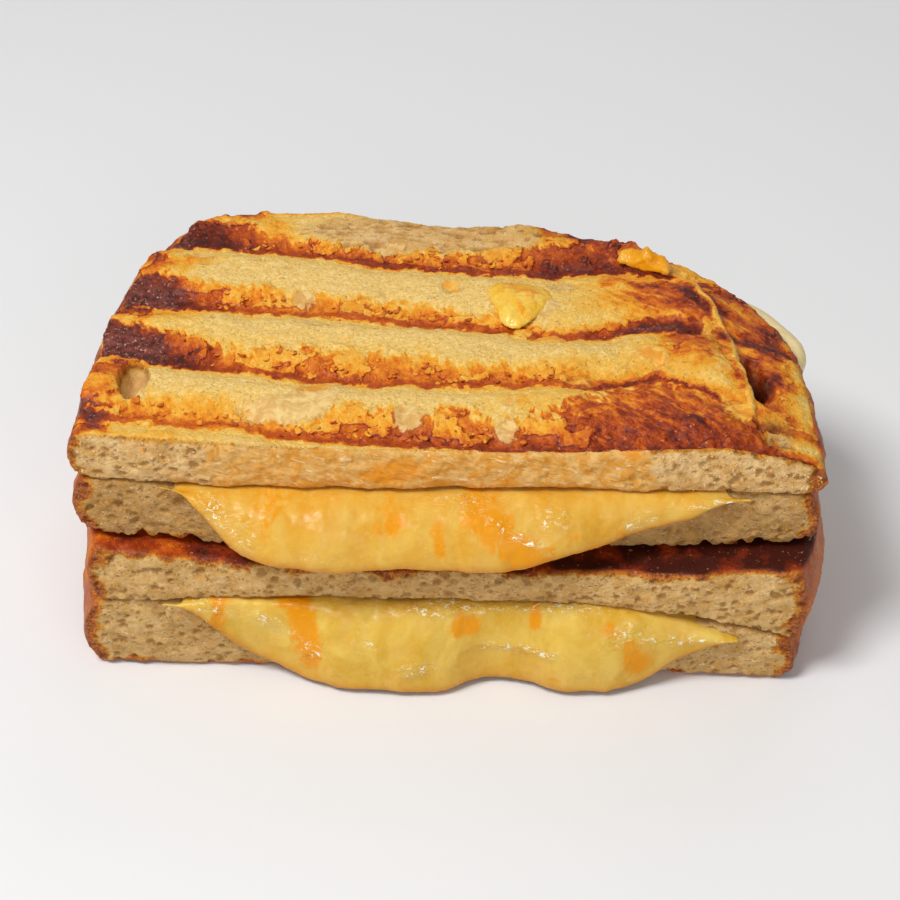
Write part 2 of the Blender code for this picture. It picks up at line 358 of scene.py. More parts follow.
def newGroup(name, inputs, outputs):  # every socket is a number, apart from Color
    tree = bpy.data.node_groups.new(name, "ShaderNodeTree")
    for label, value in inputs.items():
        tree.interface.new_socket(label, in_out="INPUT", socket_type="NodeSocketFloat").default_value = value
    for label in outputs:
        kind = "NodeSocketColor" if label == "Color" else "NodeSocketFloat"
        tree.interface.new_socket(label, in_out="OUTPUT", socket_type=kind)
    t = Tree(tree)
    return t, t.node("NodeGroupInput").outputs, t.node("NodeGroupOutput").inputs


def newMaterial(name):
    material = bpy.data.materials.new(name)
    material.use_nodes = True
    return material, Tree(material.node_tree), material.node_tree.nodes["Principled BSDF"].inputs


toasting = {
    "stops": (
        (0.00, rgb(234, 194, 112)), (0.14, rgb(237, 188, 84)), (0.28, rgb(236, 166, 48)),
        (0.42, rgb(222, 128, 28)), (0.56, rgb(196, 90, 16)), (0.70, rgb(158, 58, 12)),
        (0.85, rgb(110, 34, 12)), (1.00, rgb(66, 20, 10)),
    ),
    "ash": (rgb(78, 34, 26), rgb(134, 66, 54)),
    # pale flecks on the char: partly ash, partly painted glints
    "ashSpeckAndGlint": rgb(206, 150, 134),
    "ashShare": 0.82,
    "blotch": 3.2,  # millimetres, as the next two
    "fleck": 0.7,
    "ashPatch": 1.5,
}


def toastGroup():  # bread's colour from how far it has browned
    inputs = {"Browning": 0, "Unevenness": 0.25, "Charring": 0.0}
    t, given, out = newGroup("toastBrowning", inputs, ("Color", "Level"))
    place = t.place()
    fleck = t.swing(place, toasting["fleck"], 2, 0.6, drawn=(0.8, 0.7, 1))
    grain = t.plus(t.swing(place, toasting["blotch"], 3, 0.6), t.times(fleck, 0.8))
    middle = t.ease(0.04, 0.35, given["Browning"])  # pale crumb stays even, toast doesn't
    uneven = t.times(grain, given["Unevenness"], t.between(middle, 0.25, 1))
    level = t.plus(given["Browning"], uneven, clamp=True)
    burnt = t.plus(given["Charring"], t.times(t.swing(place, 3, 3, 0.7), 1.3))
    char = t.times(t.ease(0.66, 0.92, level), t.ease(0.45, 0.85, burnt), toasting["ashShare"])
    ash = t.mix(t.ease(0.38, 0.62, t.noise(place, toasting["ashPatch"], 3, 0.75)), *toasting["ash"])
    # painted glints: pale flecks on the char, partly ash and partly standing for small highlights
    ash = t.mix(t.ease(0.60, 0.70, t.noise(place, 0.7, 2, 0.7)), ash, toasting["ashSpeckAndGlint"])
    t.link(level, out["Level"])
    t.link(t.mix(char, t.ramp(level, toasting["stops"]), ash), out["Color"])
    return t.tree


# in millimetres
crumbPattern = {"pore": 0.75, "web": 0.55, "cluster": 2.2, "shade": 5, "wander": 1.3, "bend": 0.8}


def crumbGroup():  # fine open crumb: a height, where its pores lie, and a slow change of shade
    t, given, out = newGroup("crumbPores", {"Coarseness": 1.0}, ("Height", "Pores", "Shade"))
    place = t.place()
    scale = 1 / (crumbPattern["wander"] * mm)
    wander = t.node("ShaderNodeTexNoise", {"Vector": place, "Scale": scale, "Detail": 1.0}).outputs["Color"]
    bend = (crumbPattern["bend"] * mm,) * 3
    bent = t.node("ShaderNodeVectorMath", {0: wander, 1: bend, 2: place}, operation="MULTIPLY_ADD").outputs[0]
    oval = t.stretched(bent, (0.75, 1, 1.1))
    cells = t.node("ShaderNodeTexVoronoi", {"Vector": oval, "Scale": 1 / (crumbPattern["pore"] * mm)})
    small = t.ease(0.34, 0.10, cells.outputs["Distance"])
    where = t.ease(0.46, 0.60, t.noise(place, crumbPattern["cluster"], 2, 0.65))
    pores = t.math("MULTIPLY", (t.times(small, where), given["Coarseness"]), True)
    t.link(pores, out["Pores"])
    t.link(t.minus(t.noise(oval, crumbPattern["web"], 2, 0.7), t.times(pores, 1.3)), out["Height"])
    t.link(t.noise(place, crumbPattern["shade"], 3, 0.7), out["Shade"])
    return t.tree


bread = {
    "stain": rgb(206, 150, 66),
    "fibre": rgb(242, 220, 186),
    "paleSpeck": rgb(246, 224, 160),
    "darkSpeck": rgb(208, 158, 70),
    "glint": rgb(240, 170, 104),
    "dull": (rgb(116, 60, 18), rgb(190, 126, 58)),  # browned crumb on the cut
    # greyer brown on the crust sides: partly flour dust, partly painted sheen
    "dustAndSheen": rgb(168, 112, 74),
    "holes": (rgb(158, 108, 46), rgb(96, 34, 12)),  # painted shade inside pores and hollows: in crumb, in toast
    "unevenness": 0.42,
    "roughness": (0.85, 0.46),  # of crumb, of toast
    "bump": (0.7, 0.4),  # strength, and height in millimetres
    "specular": 0.24,
}
liftedSkin = {
    "paleSkin": (rgb(236, 202, 132), rgb(208, 160, 88)),
    "goldSkinAndHighlight": (rgb(244, 188, 74), rgb(226, 142, 26)),
    "brink": rgb(172, 84, 22),
    "wet": (rgb(220, 150, 50), rgb(232, 184, 108)),  # crumb with cheese smeared over it
    # pale streaks on the smear: partly whitish strands, partly painted highlights
    "paleStrandAndHighlight": rgb(250, 226, 186),
    "darkStreak": rgb(200, 122, 36),
    "orange": rgb(232, 144, 16),
    "cover": 0.85,
    "leastRough": 0.36,
}


def grilledHeat(t, place, browning):  # the bars' dark line, then skin torn into golden plates with dark rims
    line, share, barHeat, edge, glazed = map(t.attribute, ("line", "share", "barHeat", "skinEdge", "glazed"))
    tear = t.swing(place, 2.2, 3, 0.62, 0.5, drawn=(1, 0.8, 1))
    feather = t.swing(place, 3.4, 3, 0.6, 0.9, drawn=(1.6, 0.55, 1), turn=(0, 0, 0.3))
    lineMask = t.ease(2.5, 0.4, t.plus(line, t.times(tear, 3)))
    share = t.plus(share, t.times(feather, t.between(t.ease(0.6, 0.9, barHeat), 1.7, 0.8)))
    falling = t.times(t.largest(share, 0), t.minus(0.80, t.times(barHeat, 0.5)))
    flame = t.times(t.ease(1.1, 0.75, share), barHeat, t.minus(1.06, falling))
    bars = t.largest(t.times(lineMask, t.plus(t.times(barHeat, 0.72), 0.24)), flame)
    heat = t.largest(browning, t.plus(bars, t.times(browning, 0.25)))

    torn = t.plus(edge, t.times(tear, 0.7))
    curl = t.swing(place, 2.8, 2, 0.55, 1.6, drawn=(1.2, 0.7, 1), turn=(0, 0, 0.3))
    rim = t.ease(0.085, 0, t.absolute(torn))
    thread = t.times(t.ease(0.022, 0, t.absolute(curl)), 0.8)
    plate = t.times(t.ease(0, 0.1, torn), t.ease(0.95, 0.62, heat))
    roasted = t.times(t.ease(0.32, 0.44, heat), t.ease(0.9, 0.7, lineMask), t.between(glazed, 1, 0.15))
    heat = t.minus(heat, t.times(plate, roasted, 0.20))
    heat = t.plus(heat, t.times(t.largest(rim, thread), roasted, 0.22))

    sweep = t.swing(place, 2.6, 3, 0.62, 1, drawn=(0.35, 1.5, 1), turn=(0, 0, -0.6))
    sweep = t.plus(sweep, t.times(tear, 0.6))
    return t.plus(heat, t.times(sweep, glazed, t.between(t.ease(0.2, 0.5, heat), 0.3, 1)))


def skinAndSmears(t, place, heat, colour, rough, height):  # smooth lifted skin, the ridge's painted highlight, and cheese wiped over the cut
    rag = t.swing(place, 2.4, 3, 0.6, 0.8)
    pale, gold = (t.plus(t.attribute(key), rag) for key in ("paleSkin", "goldSkinAndHighlight"))
    paleMask, goldMask = t.ease(0.36, 0.60, pale), t.ease(0.36, 0.62, gold)
    brinks = [t.ease(0.10, 0.02, t.absolute(t.minus(skin, 0.42))) for skin in (pale, gold)]
    cloud = t.ease(0.35, 0.65, t.noise(place, 2.6, 2, 0.65, 0.8))
    streak = t.noise(place, 1.6, 3, 0.7, 1.4, drawn=(0.35, 1, 1.5), turn=(0, 0.25, 0))
    wet = t.layered(
        t.mix(cloud, *liftedSkin["wet"]),
        # painted highlights: pale streaks on the smeared cheese, partly whitish strands
        (t.times(t.ease(0.58, 0.68, streak), 0.7), liftedSkin["paleStrandAndHighlight"]),
        (t.times(t.ease(0.44, 0.32, streak), 0.6), liftedSkin["darkStreak"]),
        (t.times(t.ease(0.35, 0.75, t.attribute("orange")), 0.8), liftedSkin["orange"]),
    )
    smeared = t.ease(0.35, 0.6, t.plus(t.attribute("smear"), t.times(rag, 0.8)))
    colour = t.layered(
        colour,
        (t.times(paleMask, liftedSkin["cover"]), t.mix(cloud, *liftedSkin["paleSkin"])),
        (t.times(goldMask, liftedSkin["cover"]), t.mix(cloud, *liftedSkin["goldSkinAndHighlight"])),
        (t.times(t.largest(*brinks), t.between(t.ease(0.22, 0.45, heat), 0.12, 0.75)), liftedSkin["brink"]),
        (smeared, wet),
    )
    smooth = t.largest(paleMask, goldMask, smeared)
    rough = t.largest(t.minus(rough, t.times(smooth, 0.35)), liftedSkin["leastRough"])
    height = t.times(height, t.minus(1, t.times(smooth, 0.8)))
    return colour, rough, t.plus(height, t.times(streak, smeared, 1.2))


def breadMaterial(name, crumbColours, coarseness=1, grilled=False):
    material, t, shader = newMaterial(name)
    browning, cut, pore, crustSide = map(t.attribute, ("browning", "cut", "pore", "crustSide"))
    place = t.place()
    heat = grilledHeat(t, place, browning) if grilled else browning
    charring = t.attribute("char") if grilled else 0
    toast = t.group(toastTree, Browning=heat, Unevenness=bread["unevenness"], Charring=charring)
    crumb = t.group(crumbTree, Coarseness=coarseness)
    level, fine = toast["Level"], t.noise(place, 0.5, 2, 0.7)

    stain = t.ease(0.50, 0.66, t.noise(place, 1.7, 2, 0.65, 0.5))
    fibre = t.ease(0.56, 0.72, t.noise(place, 0.9, 3, 0.75, 1.2, drawn=(0.6, 1, 1.7), turn=(0, 0.4, 0)))
    plain = t.layered(
        t.mix(t.ease(0.3, 0.7, crumb["Shade"]), *crumbColours),
        (t.times(stain, 0.55), bread["stain"]),
        (t.times(fibre, 0.7), bread["fibre"]),
    )

    speck = t.noise(place, 0.75, 3, 0.72)
    speckled = t.layered(
        toast["Color"],
        (t.ease(0.50, 0.66, speck), bread["paleSpeck"]),
        (t.ease(0.48, 0.34, speck), bread["darkSpeck"]),
    )
    glint = t.times(t.ease(0.64, 0.72, t.noise(place, 0.9, 3, 0.6)), t.ease(0.36, 0.55, level))
    # painted sheen and dust: the crust sides get greyer brown patches, partly flour dust and partly painted
    # sheen
    dustAndSheenShare = t.between(t.ease(0.35, 0.65, t.noise(place, 4, 3, 0.65)), 0.1, 0.55)
    toasted = t.layered(
        toast["Color"],
        (t.times(t.ease(0.34, 0.05, level), 0.62), speckled),
        (t.times(glint, 0.5), bread["glint"]),
        (t.times(cut, 0.6), t.mix(t.ease(0.40, 0.62, fine), *bread["dull"])),
        (t.times(crustSide, dustAndSheenShare), bread["dustAndSheen"]),
    )

    browned = t.ease(0.03, 0.26, level)
    onCut = t.plus(t.times(cut, 0.55), 0.08)
    # painted shade: pores and hollows are painted a darker brown for the shade inside them
    holes = t.largest(t.times(crumb["Pores"], onCut), t.times(pore, 0.6))
    colour = t.layered(
        toasted,
        (t.times(cut, t.minus(1, browned, clamp=True)), plain),
        (holes, t.mix(browned, *bread["holes"])),
    )
    rough = t.between(t.ease(0.3, 0.6, heat), *bread["roughness"])
    height = t.plus(crumb["Height"], t.times(fine, 0.7))
    broad = browning
    if grilled:  # the bars without their fine tears, which would be slow in the bump
        broad = t.largest(browning, t.times(t.ease(1.1, 0.75, t.attribute("share")), t.attribute("barHeat")))
    height = t.times(height, t.between(t.ease(0.35, 0.6, broad), 1, 0.5))
    if grilled:
        colour, rough, height = skinAndSmears(t, place, heat, colour, rough, height)
    t.link(colour, shader["Base Color"])
    t.link(rough, shader["Roughness"])
    t.link(t.bump(height, *bread["bump"]), shader["Normal"])
    shader["Specular IOR Level"].default_value = bread["specular"]
    return material


def marbleGroup():  # where orange cheese runs through the pale one
    t, given, out = newGroup("cheeseMarbling", {"Orange": 0, "Bubbles": 0.0}, ("Mask", "Height", "Shade"))
    place = t.place()
    streak = t.swing(place, 2.2, 3, 0.65, 1.2, drawn=(1, 0.5, 0.5), turn=(0, 0.3, 0))
    t.link(t.ease(0.28, 0.68, t.plus(given["Orange"], t.times(streak, 1.2))), out["Mask"])
    swell = t.noise(place, 5, 2)
    fine = t.noise(place, 1.4, 2, 0.6, 0.5, drawn=(0.5, 1, 1))
    bubble = t.noise(place, 1.1, 2, 0.6, 0.8, drawn=(0.6, 1, 1))
    bubble = t.times(bubble, t.times(given["Bubbles"], 2.2))
    t.link(t.plus(t.times(swell, 1.4), bubble, t.times(fine, 0.22)), out["Height"])
    t.link(t.noise(place, 6, 3, 0.6, 0.6, drawn=(1, 0.7, 0.7)), out["Shade"])
    return t.tree


cheese = {
    "blush": rgb(236, 188, 112),
    "pale": rgb(238, 220, 168),
    "orange": rgb(234, 152, 0),
    "curd": rgb(252, 234, 166),
    # near-white spots: partly foam, partly painted sparkle highlights
    "foamAndSparkle": rgb(255, 248, 222),
    # painted translucency: the deeper orange for light shining through the cheese's thin lower edge
    "edge": rgb(204, 122, 16),
    "roughness": (0.24, 0.4),
    "coat": (0.12, 1),  # on smooth cheese, on the foam and painted sparkle spots
    "bump": (0.6, 0.6),  # strength, and height in millimetres
    "sockets": {
        "Specular IOR Level": 0.2,
        "Coat Roughness": 0.08,
        "Subsurface Weight": 0.2,
        "Subsurface Radius": (1, 0.6, 0.2),
        "Subsurface Scale": 3 * mm,
    },
}


def cheeseMaterial(name, colours):
    material, t, shader = newMaterial(name)
    place, gloss = t.place(), t.attribute("gloss")
    marble = t.group(marbleTree, Orange=t.attribute("orange"), Bubbles=gloss)
    blush = t.ease(0.5, 0.8, t.noise(place, 9, 3, 0.6))
    curd = t.ease(0.60, 0.70, t.noise(place, 1.4, 3, 0.7, 0.6))
    foamAndSparkle = t.noise(place, 0.9, 3, 0.7, 0.8, drawn=(0.7, 1, 1))
    colour = t.layered(
        t.mix(t.ease(0.25, 0.75, marble["Shade"]), *colours),
        (t.times(blush, 0.35), cheese["blush"]),
        (t.attribute("pale"), cheese["pale"]),
        (t.times(marble["Mask"], 0.92), cheese["orange"]),
        (t.times(curd, t.plus(t.times(gloss, 0.6), 0.15)), cheese["curd"]),
        # painted sparkle: near-white spots on the shiny patches stand partly for small highlights there
        (t.times(t.ease(0.57, 0.63, foamAndSparkle), t.ease(0.25, 0.7, gloss)), cheese["foamAndSparkle"]),
        # painted translucency: down-facing front cheese is painted a deeper orange
        (t.times(t.attribute("edge"), 0.7), cheese["edge"]),
    )
    t.link(colour, shader["Base Color"])
    t.link(t.bump(marble["Height"], *cheese["bump"]), shader["Normal"])
    cloud = t.ease(0.35, 0.65, t.noise(place, 1.6, 3, 0.6))
    t.link(t.between(cloud, *cheese["roughness"]), shader["Roughness"])
    t.link(t.times(gloss, t.between(t.ease(0.46, 0.58, foamAndSparkle), *cheese["coat"])), shader["Coat Weight"])
    for key, value in cheese["sockets"].items():
        shader[key].default_value = value
    return material


toastTree, crumbTree, marbleTree = toastGroup(), crumbGroup(), marbleGroup()
print("node groups built")


# The grilled top. Each bar: its path, then how far the browning reaches past it and how dark it is, along x
grillBars = (
    {
        "path": (
            (-60, 67.4), (-40, 66.1), (-30, 64.4), (-10, 60.4), (10, 58.1), (20, 57.4), (32, 59), (50, 56.5),
        ),
        "reach": (
            (-60, 9), (-42, 8), (-35, 5.5), (-22, 4.2), (-10, 4), (-3, 5.5), (4, 5), (8, 8), (24, 10),
            (36, 7), (48, 3),
        ),
        "heat": (
            (-60, 0.98), (-45, 0.86), (-37, 0.56), (-20, 0.62), (-10, 0.66), (5, 0.6), (14, 0.62),
            (22, 0.78), (36, 0.76), (50, 0.5),
        ),
    },
    {
        "path": (
            (-65, 44.6), (-40, 43.6), (-20, 42.7), (0, 40), (12, 37.8), (20, 34.6), (28, 35.6), (38, 38.8),
            (60, 36),
        ),
        "reach": (
            (-66, 11), (-54, 10), (-50, 7.5), (-32, 6.5), (-24, 5.5), (-4, 6), (1, 4), (14, 4.5), (20, 3),
            (28, 3), (46, 3.5), (56, 3),
        ),
        "heat": (
            (-66, 1), (-57, 0.94), (-48, 0.7), (-41, 0.5), (-25, 0.44), (0, 0.48), (20, 0.5), (30, 0.62),
            (38, 0.84), (50, 0.7),
        ),
    },
    {
        "path": (
            (-65, 27.2), (-38, 22.9), (-30, 21.3), (0, 19.9), (28, 20.2), (40, 22.6), (49, 18.5), (58, 9),
        ),
        "reach": (
            (-66, 11), (-54, 9.5), (-48, 8), (-38, 5), (-34, 8), (-24, 9.5), (-10, 8), (0, 6.5), (10, 5.5),
            (20, 5), (30, 4), (46, 3),
        ),
        "heat": (
            (-66, 1), (-57, 0.95), (-46, 0.68), (-38, 0.42), (-33, 0.6), (-15, 0.5), (0, 0.5), (20, 0.42),
            (30, 0.3), (46, 0.3),
        ),
    },
    {
        "path": ((-66, 7.4), (-38, 6.8), (-32, 5), (0, 2.6), (20, 0.8), (60, 0.5)),
        "reach": (
            (-66, 6), (-52, 7), (-40, 6), (-34, 3), (-28, 1.5), (-21, 7), (-14, 9), (-6, 8), (0, 9), (9, 7),
            (13, 7), (20, 10), (26, 17), (32, 21), (42, 23), (50, 19), (57, 11), (62, 4),
        ),
        "heat": (
            (-66, 0.46), (-50, 0.34), (-38, 0.35), (-20, 0.54), (0, 0.6), (14, 0.66), (24, 0.66), (40, 0.7),
            (56, 0.72),
        ),
    },
)
grill = {
    "wander": 0.9,
    "charred": ((26, 60, 6, 2.4, -10, 0.7), (42, 38.5, 8, 1.6, 0, 0.9)),
    "glazed": (
        (40, 11, 17, 9, -15, 1.3), (41, 47, 13, 8, -10, 1), (61, 34, 6, 20, 0, 1), (50, 26, 6, 10, 20, 0.6),
    ),
    "ridge": (57.5, 14.0, 0.0058),  # its x at this y, and how fast it bends away
}
topPatches = (  # browning besides the bars: x, y, half sizes, turn, heat
    (-66, 58, 7, 6, 60, 0.5), (-66, 40, 5, 6, 0, 0.52), (-66, 18, 4, 10, 0, 0.5), (-68, 6, 4, 7, 0, 0.6),
    (-56, 58, 8, 4, 20, 0.36), (-58, 41, 7, 4, 0, 0.34), (-46, 30, 8, 3, -20, 0.22),
    (-36, 71, 5, 6, -30, 0.34), (-46, 77, 9, 4, 25, 0.55), (-60, 61, 5, 3, 0, 0.3),
    (-20, 81, 34, 2.5, 0, 0.4), (22, 73, 9, 6, -30, 0.85), (32, 69, 8, 5, -20, 0.5),
    (41, 64, 7, 5, -30, 0.5), (10, 64, 6, 5, 0, 0.26), (40, 48, 15, 8, 10, 0.38),
    (38, 53, 9, 1.6, -14, 0.34), (49, 44, 5, 10, -20, 0.28), (24, 25, 9, 3, 0, 0.2), (41, 29, 8, 4, 20, 0.3),
    (50, 31, 6, 7, 0, 0.42), (58, 45, 8, 6, -30, 0.5), (64, 28, 6, 13, 0, 0.5), (63, 10, 5, 9, 0, 0.34),
    (54, 14, 5, 6, 0, 0.28), (17, 13, 10, 3.5, 0, 0.22), (-55, 2, 14, 2, 0, 0.2), (-20, 30, 26, 3, -8, 0.1),
    (-50, 12, 12, 3, 0, 0.16), (60, 60, 10, 8, -40, 0.5), (-66, 72, 8, 8, 40, 0.6), (66, 44, 5, 9, -10, 0.4),
    (59.4, 24.5, 3.4, 7.5, 0, 0.7), (-61, 23, 3.5, 5, 0, 0.4), (47, 46, 7, 8, 0, 0.2),
    (40, 8, 12, 7, -20, 0.2),
)
openPatches = (
    (-10, 71, 24, 8, -4, 0.95), (12, 70, 12, 6, -10, 0.8), (-50, 61, 6, 2.5, 0, 0.5), (62, 7, 4, 6, 0, 0.9),
)
skinPatches = {  # where a smooth skin has lifted off: x, y, half sizes, turn, strength
    "paleSkin": (
        (-31, 10.5, 9, 3.6, 8, 0.95), (-25, 12.5, 6, 3, 30, 0.8), (-7, 9, 3.2, 3.8, 20, 1),
        (11.2, 6.4, 2.4, 3.4, -10, 0.9), (-28.5, 47, 2.6, 2.8, 0, 0.8), (-25.5, 38.5, 4, 1.6, -5, 0.7),
        (24, 51, 3.2, 2.6, 0, 0.7), (20, 43, 2.5, 4, -30, 0.7), (-12, 66.5, 5, 2.6, 0, 0.7),
        (-18, 74, 5, 2, 10, 0.6), (-50, 61.5, 3.6, 2, 0, 0.6), (-58.6, 17, 2.4, 4.4, 0, 1),
    ),
    "goldSkinAndHighlight": (
        (-24.5, 17, 4.2, 1.9, 12, 1), (20.8, 33.8, 2.8, 1.3, -4, 1.1), (15.5, 36.2, 2, 1.8, 0, 1),
        (0.8, 51, 2.4, 2.6, 0, 0.8), (-18, 45.5, 3.5, 2.2, 10, 0.7), (40, 28, 4.5, 3.4, -20, 0.8),
        (10, 64, 4.5, 3, 0, 0.7), (34, 33, 2, 1.5, 0, 0.4), (12, 12, 3, 2, 20, 0.55),
        (54, 13, 3, 4, -30, 0.6), (46, 60, 8, 3, -30, 0.6), (26, 21, 5, 2, -5, 0.55),
    ),
}
topPits = (  # x, y, half sizes, depth
    (-12, 66, 4, 2.2, 1.7), (-18, 74, 2.9, 1.6, 0.8), (-50, 61.5, 2.9, 1.6, 0.8),
    (-25.5, 38.5, 2.4, 1.6, 0.5), (0.8, 51, 2.4, 2, 0.8), (23.8, 51.5, 3.1, 2.2, 0.9),
    (-46, 40.2, 0.8, 0.8, 1.4), (-7, 9, 2.4, 2.4, 0.6), (11, 6.4, 1.6, 2.6, 0.7), (60.4, 6, 1.2, 2.2, 1.4),
    (-32, 57, 1.4, 0.9, 0.6), (4, 70, 2.4, 1.2, 0.6), (9, 72, 2.2, 1, 0.6), (-6, 74, 2, 1, 0.5),
    (-24, 75, 2.4, 1.2, 0.5), (0, 66, 1.5, 1, 0.5), (-48, 58.5, 3, 1.2, 0.7), (-38, 60, 2.6, 0.8, 0.5),
)
airHoles = (  # the same, and how much of the crumb shows inside
    (-59.4, 19.0, 3.0, 6.4, 3.4, 0.95),
    (59.4, 24.5, 2.5, 7.0, 4.6, 0.15),
)
lidFinish = {
    "crumb": (rgb(236, 198, 138), rgb(214, 164, 96)),
    "coarseness": 0.7,
    "pores": 620,
    "openPores": 150,
    "orange": (  # x, z, half sizes, turn, strength
        (-10, 46, 9, 4, 10, 0.8), (4, 41, 5, 2, 0, 0.7), (16, 40, 5, 1.5, 0, 0.5), (34, 50, 5, 2, -15, 0.7),
        (-36, 47, 5, 2, 0, 0.5),
    ),
}
lidRelief = {  # heights in millimetres
    "bands": 1.0, "plates": 0.6, "tornGrain": 0.22, "grain": 0.26,
    "swell": 0.5, "glaze": 0.5, "skins": 0.3, "ridge": 0.9,
    "side": (0.45, 0.18),  # its swells, its grain
    "cut": (0.5, 0.28),
}


def barFields(x, y):  # the nearest bar's line, height above it, reach and heat
    line = np.full(len(x), 99.0)
    best = np.full(len(x), 99.0)
    above, reach, heat = np.zeros(len(x)), np.ones(len(x)), np.zeros(len(x))
    for bar in grillBars:
        t = y - np.interp(x, *zip(*bar["path"]))
        line = np.minimum(line, np.abs(t))
        far = np.interp(x, *zip(*bar["reach"]))
        nearness = np.abs(t - 0.5 * far) / far
        chosen = nearness < best
        best = np.where(chosen, nearness, best)
        above, reach = np.where(chosen, t, above), np.where(chosen, far, reach)
        heat = np.where(chosen, np.interp(x, *zip(*bar["heat"])), heat)
    return line, above, reach, heat


def sliceMasks(shell):  # cut face, top, underside and crust, each 0 to 1
    up = shell.n[:, 2]
    cut = ease(0.5, 0.8, -shell.n[:, 1]) * ease(4, 2, shell.p[:, 1])
    top, under = ease(0.45, 0.8, up) * (1 - cut), ease(0.45, 0.8, -up) * (1 - cut)
    return cut, top, under, np.clip(1.0 - cut - top - under, 0.0, 1.0)


def crumbPores(shell, cut, crustDistance, count, seed):
    smallest, biggest = 0.2, 0.8
    picker = np.random.default_rng(seed)
    chance = cut * (crustDistance > 0.8)
    picked = picker.choice(len(shell.p), count, p=chance / chance.sum())
    radii = smallest + (biggest - smallest) * picker.random(count) ** 6
    return shell.pits(shell.p[picked], radii, radii * 0.8, inwards, (1.3, 1.0, 1.0), 0.35)


def openPores(shell, openCrumb, count, seed):  # longer holes, on the open crumb at the back of the top
    picker = np.random.default_rng(seed)
    chosen = picker.choice(len(shell.p), count, p=openCrumb / openCrumb.sum())
    radii = 0.35 + 0.8 * picker.random(count) ** 3
    return shell.pits(shell.p[chosen], radii, radii * 0.9, downwards, (1.9, 0.8, 1.0))


